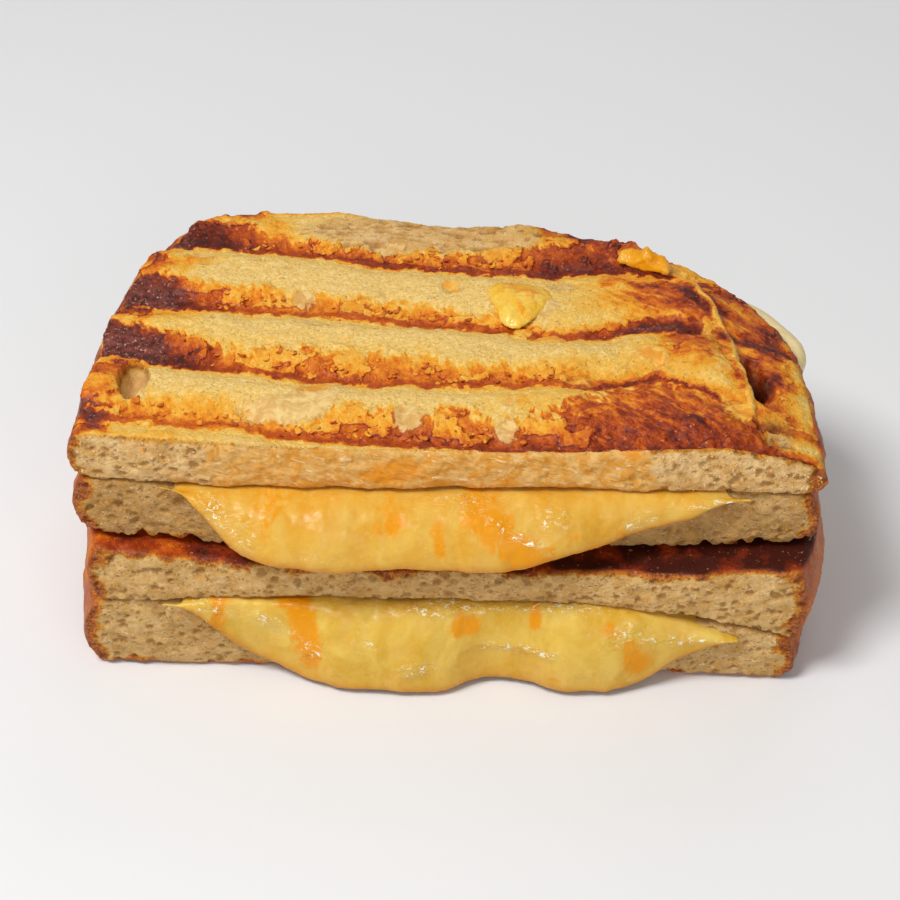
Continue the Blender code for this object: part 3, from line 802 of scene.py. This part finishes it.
def toastedTop():  # gives the faces that carry the flakes, and those that carry the crumbs
    piece = smoothedCopy("upper_lid", "toastedTop", breadVoxel)
    refine(piece, 2, 1)
    shell = Shell(piece)
    p = shell.p.copy()
    x, y, z = p.T
    cut, top, under, side = sliceMasks(shell)
    toCrust = shell.distanceTo(side > 0.6)
    toTop = shell.distanceTo(top > 0.8)

    # browning, the ridge at the right with a painted highlight along its crest, lifted skins and open crumb
    warpX = 1.6 * roughNoise(p, 5, 3)
    warpY = grill["wander"] * roughNoise(p, 4, 5, 4)
    line, above, reach, barHeat = barFields(x + warpX, y + warpY)
    heat = patchField(x + 2.5 * warpX, y + 2.5 * warpY, topPatches) * (0.75 + 0.5 * softNoise(p, 6, 9))
    heat += 0.20 * hill(line, 3.2)
    ridgeX, ridgeY, ridgeCurve = grill["ridge"]
    toRidge = x + 1.4 * roughNoise(p, 7, 33, 3) - (ridgeX - ridgeCurve * (y - ridgeY) ** 2)
    crest = ease(4, 12, y) * ease(62, 56, y) * (0.6 + 0.6 * softNoise(p, 8, 35))
    pale, gold = (patchField(x + warpX, y + warpY, skinPatches[key]) for key in ("paleSkin", "goldSkinAndHighlight"))
    # painted highlight: the golden band right on the ridge's crest stands for the light it catches, laid in
    # as gold skin
    gold += 0.7 * hill(toRidge, 0.9) * crest
    pale += 0.75 * hill(toRidge - 0.5, 0.5) * crest
    gold += 0.62 * hill(toRidge + 3, 2.6) * crest * ease(0.45, 0.7, softNoise(p, 4, 37))
    openCrumb = ease(0.35, 0.7, patchField(x + 2 * warpX, y + 2 * warpY, openPatches)) * top
    smooth = ease(0.35, 0.6, pale + gold)
    heat *= 1.0 - 0.75 * smooth
    heat *= 1.0 - 0.6 * openCrumb

    # relief: puffed bands between the bars, torn skin over the browned parts
    rough = 1.0 - 0.8 * smooth
    tornSkin = roughNoise(p, 4.2, 11, 3, (1.5, 0.8, 1)) - 0.05
    inFlame = ease(1.3, 0.7, above / reach + 0.5 * roughNoise(p, 2.5, 12, 3, (0.7, 1.6, 1)))
    inFlame = inFlame * ease(-1.5, 0.5, above)
    glazed = np.clip(patchField(x + warpX, y + warpY, grill["glazed"]), 0.0, 1.0)
    browned = np.clip(heat * 1.3 + inFlame, 0.0, 1.0) * rough * (1.0 - 0.75 * glazed)
    diagonal = p @ np.array(Matrix.Rotation(-0.6, 3, "Z"))
    relief = lidRelief
    lift = relief["bands"] * ease(1, 6.5, line) * ease(62, 50, x) - 0.5
    lift += relief["plates"] * (ease(-0.05, 0.07, tornSkin) - 0.5) * browned
    lift += relief["tornGrain"] * roughNoise(p, 1.6, 13) * browned
    lift += relief["grain"] * roughNoise(p, 1.3, 15, 3, (1.5, 1, 1)) * rough
    lift += relief["swell"] * roughNoise(p, 11, 17)
    lift += relief["glaze"] * glazed * roughNoise(diagonal, 2.6, 39, 3, (3, 0.8, 1))
    lift += relief["skins"] * smooth + relief["ridge"] * hill(toRidge, 1.1) * crest
    sideSwell, sideGrain = relief["side"]
    cutSwell, cutGrain = relief["cut"]
    shell.push(lift * top)
    shell.push(side * (sideSwell * roughNoise(p, 5, 19) + sideGrain * roughNoise(p, 1.5, 21)))
    shell.push(cut * (cutGrain * roughNoise(p, 1.3, 23, 3, (1.5, 1, 1)) + cutSwell * roughNoise(p, 7, 25)))

    # cheese wiped over the cut, pores, pits and the two air holes, with painted shade in the hollows
    rag = 3.0 * roughNoise(p, 6, 26, 4)
    wetTop = z + 0.4 * rag - 1.2 * ease(-20, 0, x) * ease(14, 6, x)
    wet = cut * ease(-48, -42, x + rag) * ease(44, 34, x + rag) * ease(52, 50.5, wetTop)
    pore = crumbPores(shell, cut * (1.0 - 0.92 * wet), toCrust, lidFinish["pores"], 31)
    pore = np.maximum(pore, openPores(shell, openCrumb, lidFinish["openPores"], 32))
    for px, py, wide, long, depth, inner in [(*pit, 0.0) for pit in topPits] + list(airHoles):
        middle = np.argmin((x - px) ** 2 + (y - py) ** 2 + 1e4 * (top < 0.5))
        hollow = shell.pits([shell.p[middle]], [1.0], [depth], downwards, (wide, long, 6.0), 0.3)
        heat *= 1.0 - hollow * (0.4 * (depth < 4.0) + 0.55 * inner)
        openCrumb = np.maximum(openCrumb, hollow * inner)
        # painted shade: each hollow is painted darker inside, most at its walls and in the deepest ones
        wall = (1.0 - np.abs(2.0 * hollow - 1)) * ease(0.6, 2, depth)
        shade = 0.3 + 0.5 * ease(3.6, 4.6, depth)
        pore = np.maximum(pore, np.maximum(shade * hollow, 1.3 * wall))

    crust = ease(3.4, 0.4, toCrust + 1.4 * roughNoise(p, 2.2, 27, 4))
    underSkin = 0.42 * ease(1.4, 0.2, toTop + 0.5 * roughNoise(p, 2, 28))
    heat = heat * (1 - cut) + cut * np.maximum(0.66 * crust, underSkin)
    heat += side * 0.5 * (0.9 + 0.5 * roughNoise(p, 5, 30)) + under * 0.1
    offTop = 1 - top
    attributes = {
        "browning": np.minimum(heat, 0.72 + 0.3 * (1.0 - side)),
        "line": line + 30 * offTop,
        "share": np.clip(np.maximum(above / reach, -above) + 3.0 * offTop, 0.0, 2.0),
        "glazed": glazed * top,
        "barHeat": barHeat,
        "skinEdge": tornSkin,
        "cut": np.maximum(np.maximum(cut, under), 0.75 * openCrumb),
        "pore": pore,
        "smear": wet,
        "paleSkin": pale * top,
        "goldSkinAndHighlight": gold * top,
        "orange": patchField(x, z, lidFinish["orange"]) * cut,
        "crustSide": side,
        "char": np.clip(ease(-44, -60, x) + patchField(x, y, grill["charred"]), 0, 1) * top,
    }
    material = breadMaterial("toastedTopBread", lidFinish["crumb"], lidFinish["coarseness"], True)
    shell.finish(attributes, material, "upper_lid")
    torn = inFlame * top * (barHeat < 0.66) * (above > 0.3) * (above < 0.8 * reach) * (1.0 - smooth)
    flakeFaces = facesWhere(piece, torn * ((x < 22) | (y > 50)), 0.75, "flakeCarrier")
    return flakeFaces, facesWhere(piece, cut * (1.0 - wet), 0.7, "crumbCarrier")


# The other three slices: which face met the grill, how brown it is, and how many pores the cut shows
otherSlices = {
    "upper_base": {
        "name": "upperBaseSlice",
        "toasted": -1, "brown": 0.72, "pores": 700, "teeth": 1.6, "seed": 41,
        # painted shade: the slices' crumb colours differ by how much light reaches each cut; this one, in
        # shade below the lid, is painted darkest
        "crumb": (rgb(202, 160, 100), rgb(170, 124, 64)),
    },
    "lower_lid": {
        "name": "lowerLidSlice",
        "toasted": 1, "brown": 0.92, "pores": 1000, "teeth": 0.0, "seed": 51,
        "crumb": (rgb(222, 182, 120), rgb(196, 150, 84)),
        "browningAndShade": (0.92, 1.0, 1.3, 1.3),  # of the toasted face, from left to right: deeper toast, and towards the right painted shade from the upper half above it
    },
    "lower_base": {
        "name": "lowerBaseSlice",
        "toasted": -1, "brown": 0.78, "pores": 900, "teeth": 1.0, "seed": 61,
        "crumb": (rgb(214, 176, 116), rgb(184, 142, 82)),
    },
}


def plainSlice(node, name, toasted, brown, pores, teeth, crumb, seed, browningAndShade=(1, 1, 1, 1)):
    piece = smoothedCopy(node, name, breadVoxel)
    refine(piece, 2, 0)
    shell = Shell(piece)
    p = shell.p.copy()
    cut, top, under, side = sliceMasks(shell)
    face, inner = (top, under) if toasted > 0 else (under, top)
    toCrust = shell.distanceTo(side > 0.6)
    toFace = shell.distanceTo(face > 0.8)
    shell.push(cut * (0.32 * roughNoise(p, 1.3, seed, 3, (1.5, 1, 1)) + 0.5 * roughNoise(p, 8, seed + 1)))
    shell.push(side * (0.5 * roughNoise(p, 6, seed + 2) + 0.15 * roughNoise(p, 1.4, seed + 3)))
    shell.push(face * (0.3 * roughNoise(p, 3, seed + 4)))
    if teeth:  # the knife tore this edge: it is eaten away between ragged teeth
        bite = np.clip(roughNoise(p * (1, 0.3, 0.3), 1.7, seed + 5, 3) + 0.25, 0, 1)
        rim = ease(3.4, 0.4, toFace) * ease(6, 1, p[:, 1] - p[:, 1].min())
        shell.p[:, 2] += teeth * bite * rim
    # the pores' depth, kept as the pore attribute, paints shade into them
    pore = crumbPores(shell, cut, toCrust, pores, seed)
    crust = ease(4.2, 0.5, toCrust + 1.6 * roughNoise(p, 2.4, seed + 6, 4))
    grilled = ease(2.2, 0.2, toFace + 1.1 * roughNoise(p, 2.2, seed + 7, 4))
    heat = cut * np.maximum(0.78 * crust, 0.8 * brown * grilled)
    heat = heat + side * (0.53 + 0.22 * roughNoise(p, 5, seed + 8))
    heat += inner * 0.6 * ease(4, 1, toCrust)
    # painted shade: on the lower lid the toasted face is painted darker towards the right, partly deeper
    # toast and partly the shade of the upper half above it
    darker = np.interp(p[:, 0], (-60, -10, 25, 60), browningAndShade)
    heat += face * brown * darker * (0.9 + 0.4 * roughNoise(p, 6, seed + 9))
    attributes = {"browning": heat, "cut": np.maximum(cut, inner), "pore": pore, "crustSide": side}
    shell.finish(attributes, breadMaterial(name + "Bread", crumb), node)


# Melted cheese: where it shines and where the orange kind shows (x, z, half sizes, turn, strength)
melts = {
    "upper_cheese": {
        "name": "upperMelt",
        "colours": (rgb(230, 186, 84), rgb(222, 160, 42)),
        "gloss": (
            (-44, 40, 3, 2, -40, 0.9), (-38, 36, 4, 4, -45, 0.6), (-26, 34, 3, 2, 0, 0.5),
            (-12, 43, 6, 1, 0, 0.8), (13, 37, 7, 1.2, -20, 0.9), (20, 39, 3, 1.5, 0, 0.9),
            (36, 37, 5, 2, 15, 0.7), (50, 39.5, 6, 1.2, 5, 0.8), (2, 41, 8, 1, 0, 0.5),
        ),
        "orange": (
            (-1.5, 36, 1.6, 3.5, 10, 0.8), (7, 39, 5, 2.5, -10, 0.85), (14, 34, 6.5, 3.6, -18, 0.9),
            (-10.5, 38.5, 4, 2.4, 0, 0.7), (-34, 37, 5, 6, 10, 0.3), (-33, 43, 2, 3, 0, 0.5),
            (33, 35, 1.4, 2.4, 20, 0.6), (51, 39, 2.4, 1.2, 0, 0.6), (24, 36, 3, 2, 10, 0.45),
            (4, 28, 7, 2, 0, 0.35), (-22, 42, 9, 1.6, 0, 0.5),
        ),
        "seed": 71,
        "cutLine": (0.0, 0.0),  # where the cut is: y at x 0, and its slope
        "taper": (40, 52.5, 40.0, 2.5),  # from x, to x, the tip's height, how much longer
        "swell": 0.5,
    },
    "lower_cheese": {
        "name": "lowerMelt",
        "colours": (rgb(232, 196, 92), rgb(216, 166, 46)),
        "gloss": (
            (-46, 17, 4, 1.5, -15, 1), (-34, 14, 5, 1.5, -20, 0.9), (-20, 18.6, 10, 0.9, 0, 1),
            (0, 17.2, 8, 0.9, 0, 1), (24, 17.6, 16, 0.9, 0, 0.8), (-6, 7, 3.5, 1.6, 10, 1.2),
            (10, 9.5, 6, 0.9, 0, 1.1), (-26, 9, 3, 2, -20, 0.8), (18, 10, 4, 1.2, 0, 0.9),
            (44, 11.5, 8, 1.6, -5, 0.9), (34, 14, 4, 2, 20, 0.7), (-15, 12, 3, 2, 0, 0.6),
            (26, 6, 3, 1, 0, 0.5),
        ),
        "orange": (
            (-27.5, 13, 3.4, 9.5, 17, 1.05), (-44, 15.5, 2.4, 4.4, -10, 0.8), (3.5, 14.5, 3.8, 2.8, 0, 0.85),
            (17, 16, 1.6, 2.6, 0, 0.85), (36, 8, 3.2, 6.5, 24, 0.75), (21, 4, 2, 1.5, 0, 0.5),
            (-34, 19, 6, 1.8, 0, 0.45), (30, 15, 3, 2, 0, 0.4),
        ),
        "seed": 81,
        "cutLine": (-5.25, -0.032),
        "taper": (34, 52, 10.6, 4.5),
        "hang": 0.4,
    },
}


def melt(node, name, colours, gloss, orange, seed, cutLine, taper, swell=0.0, hang=0.0):
    shell = Shell(smoothedCopy(node, name, meltVoxel, 80.0, 0.2))
    p = shell.p.copy()
    x, y, z = p.T
    front = ease(1, -1, y)
    sag = 0.5 * roughNoise(p, 9, seed, 2, (0.8, 1, 1.4))
    sag = sag + 0.14 * roughNoise(p, 2.6, seed + 1, 3, (0.7, 1, 1.6))
    tongue = ease(56, 62, x) * ease(20, 28, y) * ease(56, 46, y)
    shell.push(front * sag + swell * tongue)
    lower = hang * hill(x + 43, 9) * front  # hangs further down at the left
    shell.p[:, 2] -= lower * np.clip(17.0 - shell.p[:, 2], 0.0, 9.0)
    fromX, toX, tipZ, longer = taper  # the lip thins out to a tip at its right end
    share = np.clip((x - fromX) / (toX - fromX), 0.0, 1.0) ** 2 * front
    skinY = cutLine[0] + cutLine[1] * x - 0.9
    shell.p[:, 1] += (skinY - shell.p[:, 1]) * 0.6 * share * (shell.p[:, 1] < skinY)
    shell.p[:, 0] += longer * share
    shell.p[:, 2] += (tipZ - shell.p[:, 2]) * 0.93 * share
    down = shell.n[:, 2]
    attributes = {
        # painted translucency: faces turned downwards at the front get more orange and a deeper orange rim,
        # for light shining through the thin lower edge
        "orange": patchField(x, z, orange) + 0.15 * ease(0.1, -0.8, down),
        "edge": ease(0.25, -0.5, down) * front,
        "pale": 0.8 * ease(54, 60, x) * ease(16, 24, y),
        "gloss": front * np.clip(patchField(x, z, gloss), 0.0, 1.0),
    }
    shell.finish(attributes, cheeseMaterial(name + "Cheese", colours), node)


smallMelts = {
    "cheese_spot": {
        "name": "cheeseSpot",
        "colours": (rgb(244, 206, 92), rgb(240, 178, 32)),
        "orange": 0.25, "seed": 91, "crease": 0.75, "rough": 0.25,
    },
    "crisp_cheese": {
        "name": "crispCrest",
        "colours": (rgb(242, 176, 30), rgb(232, 142, 8)),
        "orange": 0.5, "seed": 95, "crease": 1.0, "rough": 0.5,
    },
}


def smallMelt(node, name, colours, orange, seed, crease, rough):
    shell = Shell(smoothedCopy(node, name, blobVoxel, 30.0, crease))
    p = shell.p.copy()
    none = np.zeros(len(p))
    shell.push(rough * roughNoise(p, 2, seed))
    spots = orange + 0.5 * roughNoise(p, 4, seed + 1, 2)
    attributes = {"orange": spots, "edge": none, "pale": none, "gloss": none + 0.3}
    shell.finish(attributes, cheeseMaterial(name + "Cheese", colours), node)


# Torn flakes standing along the browned bars, and loose crumbs on the cuts
scattered = {
    "tornFlakes": {
        "count": 170, "size": (0.4, 1.3), "seed": 7, "squash": (0.5, 1.0, 0.08), "curl": 0.22,
        "turns": ((-0.05, -0.2, -0.7), (0.16, 0.2, 1.1)),
        "browning": (0.26, 0.34),  # the least, and how much more at most
    },
    "cutCrumbs": {
        "count": 110, "size": (0.12, 0.38), "seed": 21, "squash": (1.0, 0.8, 0.7), "curl": 0.0,
        "turns": ((-3.0, -3.0, -3.0), (3.0, 3.0, 3.0)),
        "browning": (0.06, 0.2),
        "plainColour": rgb(228, 190, 134),
    },
}


def scatterTree(name, squash, curl, turns, material):
    # a small closed chip or crumb, bent along y, placed at random over the carrier's faces
    tree = bpy.data.node_groups.new(name, "GeometryNodeTree")
    numbers = ("Density", "Smallest", "Largest")
    for label, kind in {"Carrier": "Geometry", **dict.fromkeys(numbers, "Float"), "Seed": "Int"}.items():
        tree.interface.new_socket(label, in_out="INPUT", socket_type="NodeSocket" + kind)
    tree.interface.new_socket("Chips", in_out="OUTPUT", socket_type="NodeSocketGeometry")
    t = Tree(tree)
    given, out = t.node("NodeGroupInput").outputs, t.node("NodeGroupOutput").inputs

    ball = t.node("GeometryNodeMeshIcoSphere", {"Radius": 1.0, "Subdivisions": 2}).outputs["Mesh"]
    place = t.node("GeometryNodeInputPosition").outputs[0]
    x, y, z = t.node("ShaderNodeSeparateXYZ", {0: place}).outputs
    swell = t.plus(t.node("ShaderNodeTexNoise", {"Vector": place, "Scale": 1.1}).outputs["Fac"], 0.5)
    taper = t.minus(1.0, t.times(y, 0.35))
    wide = t.times(x, squash[0], t.times(taper, swell))
    long = t.times(y, t.times(swell, squash[1]))
    thick = t.plus(t.times(z, squash[2]), t.times(y, y, curl))
    shape = t.node("ShaderNodeCombineXYZ", {"X": wide, "Y": long, "Z": thick}).outputs[0]
    chip = t.node("GeometryNodeSetPosition", {"Geometry": ball, "Position": shape}).outputs[0]
    radius = t.math("POWER", (t.plus(t.times(x, x), t.times(y, y)), 0.5))
    chip = t.stored("rim", chip, radius, "POINT")

    seed = given["Seed"]
    spread = {"Mesh": given["Carrier"], "Density": given["Density"], "Seed": seed}
    points = t.node("GeometryNodeDistributePointsOnFaces", spread).outputs["Points"]
    turn = t.node("FunctionNodeRandomValue", dict(enumerate(turns)), data_type="FLOAT_VECTOR").outputs[0]
    sizes = {2: given["Smallest"], 3: given["Largest"], "Seed": seed}
    size = t.node("FunctionNodeRandomValue", sizes, data_type="FLOAT").outputs[1]
    tone = t.node("FunctionNodeRandomValue", {"Seed": 5}, data_type="FLOAT").outputs[1]
    placing = {"Points": points, "Instance": chip, "Rotation": turn, "Scale": size}
    chips = t.node("GeometryNodeInstanceOnPoints", placing).outputs[0]
    chips = t.stored("tone", chips, tone, "INSTANCE")
    chips = t.node("GeometryNodeRealizeInstances", {0: chips}).outputs[0]
    painted = t.node("GeometryNodeSetMaterial", {"Geometry": chips, "Material": material})
    t.link(painted.outputs[0], out["Chips"])
    return tree


def chipMaterial(name, browning, plainColour):
    material, t, shader = newMaterial(name)
    rim, tone = t.attribute("rim"), t.attribute("tone")
    least, more = browning
    heat = t.plus(t.times(tone, more), least, t.times(t.ease(0.6, 1.0, rim), 0.2))
    colour = t.group(toastTree, Browning=heat, Unevenness=0.35)["Color"]
    if plainColour:
        colour = t.mix(t.ease(0.9, 0.7, tone), colour, plainColour)
    t.link(colour, shader["Base Color"])
    shader["Roughness"].default_value = 0.5
    shader["Specular IOR Level"].default_value = 0.3
    return material


def scatter(name, carrier, count, size, seed, squash, curl, turns, browning, plainColour=None):
    tree = scatterTree(name, squash, curl, turns, chipMaterial(name + "Bread", browning, plainColour))
    piece = bpy.data.objects.new(name, carrier)
    bpy.context.scene.collection.objects.link(piece)
    spread = piece.modifiers.new("spread", "NODES")
    spread.node_group = tree
    keys = {item.name: item.identifier for item in tree.interface.items_tree if item.item_type == "SOCKET"}
    spread[keys["Density"]] = count / sum(polygon.area for polygon in carrier.polygons)
    spread[keys["Smallest"]], spread[keys["Largest"]] = size[0] * mm, size[1] * mm
    spread[keys["Seed"]] = seed
    settle(piece)
    piece.data.shade_smooth()
    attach(piece, "root")
    print(name, len(piece.data.polygons), "faces")


flakeCarrier, crumbCarrier = toastedTop()
for node, values in otherSlices.items():
    plainSlice(node, **values)
for node, values in melts.items():
    melt(node, **values)
for node, values in smallMelts.items():
    smallMelt(node, **values)
scatter("tornFlakes", flakeCarrier, **scattered["tornFlakes"])
scatter("cutCrumbs", crumbCarrier, **scattered["cutCrumbs"])
print("layers made")


# The set: a pale floor, soft light and the camera
studio = {
    "cameraPlace": (0.6, -340.0, 316.9),  # millimetres from the cut's middle
    "lookDown": 38.0,
    "lens": 93.4,
    "sensor": 36.0,
    "floorHalf": 3.0,
    "floorDrop": 0.2 * mm,
    "floorTone": (0.86, 0.86, 0.86, 1.0),
    "skyStrength": 0.25,
    "aim": (0.0, 0.0, 0.03),
    "lights": {  # place, size, power
        "keyLight": ((-0.35, -0.25, 0.75), 0.3, 5.3),
        "frontFill": ((0.25, -0.9, 0.45), 0.5, 1.9),
        "backLight": ((0.2, 0.7, 0.6), 0.5, 1.0),
    },
}


def buildStudio():
    scene = bpy.context.scene
    scene.view_settings.view_transform = "Standard"
    camera = bpy.data.objects.new("camera", bpy.data.cameras.new("camera"))
    camera.data.lens = studio["lens"]
    camera.data.sensor_width = studio["sensor"]
    camera.data.clip_start = 0.01
    camera.location = cutMiddle + Vector(studio["cameraPlace"]) * mm
    camera.rotation_euler = (math.radians(90.0 - studio["lookDown"]), 0.0, 0.0)
    scene.collection.objects.link(camera)
    scene.camera = camera

    plane = bpy.data.meshes.new("floor")
    half = studio["floorHalf"]
    corners = [(half * x, half * y, 0) for x, y in ((-1, -1), (1, -1), (1, 1), (-1, 1))]
    plane.from_pydata(corners, [], [(0, 1, 2, 3)])
    floor = bpy.data.objects.new("floor", plane)
    floor.location.z = -studio["floorDrop"]
    scene.collection.objects.link(floor)
    material, t, shader = newMaterial("paleFloor")
    shader["Base Color"].default_value = studio["floorTone"]
    shader["Roughness"].default_value = 0.8
    plane.materials.append(material)

    scene.world = bpy.data.worlds.new("sky")
    scene.world.use_nodes = True
    sky = scene.world.node_tree.nodes["Background"].inputs
    sky["Color"].default_value = (1.0, 1.0, 1.0, 1.0)
    sky["Strength"].default_value = studio["skyStrength"]
    for name, (place, size, power) in studio["lights"].items():
        light = bpy.data.lights.new(name, "AREA")
        light.size, light.energy = size, power
        lamp = bpy.data.objects.new(name, light)
        lamp.location = place
        lamp.rotation_euler = (Vector(studio["aim"]) - Vector(place)).to_track_quat("-Z", "Y").to_euler()
        scene.collection.objects.link(lamp)


buildStudio()
print("set built")
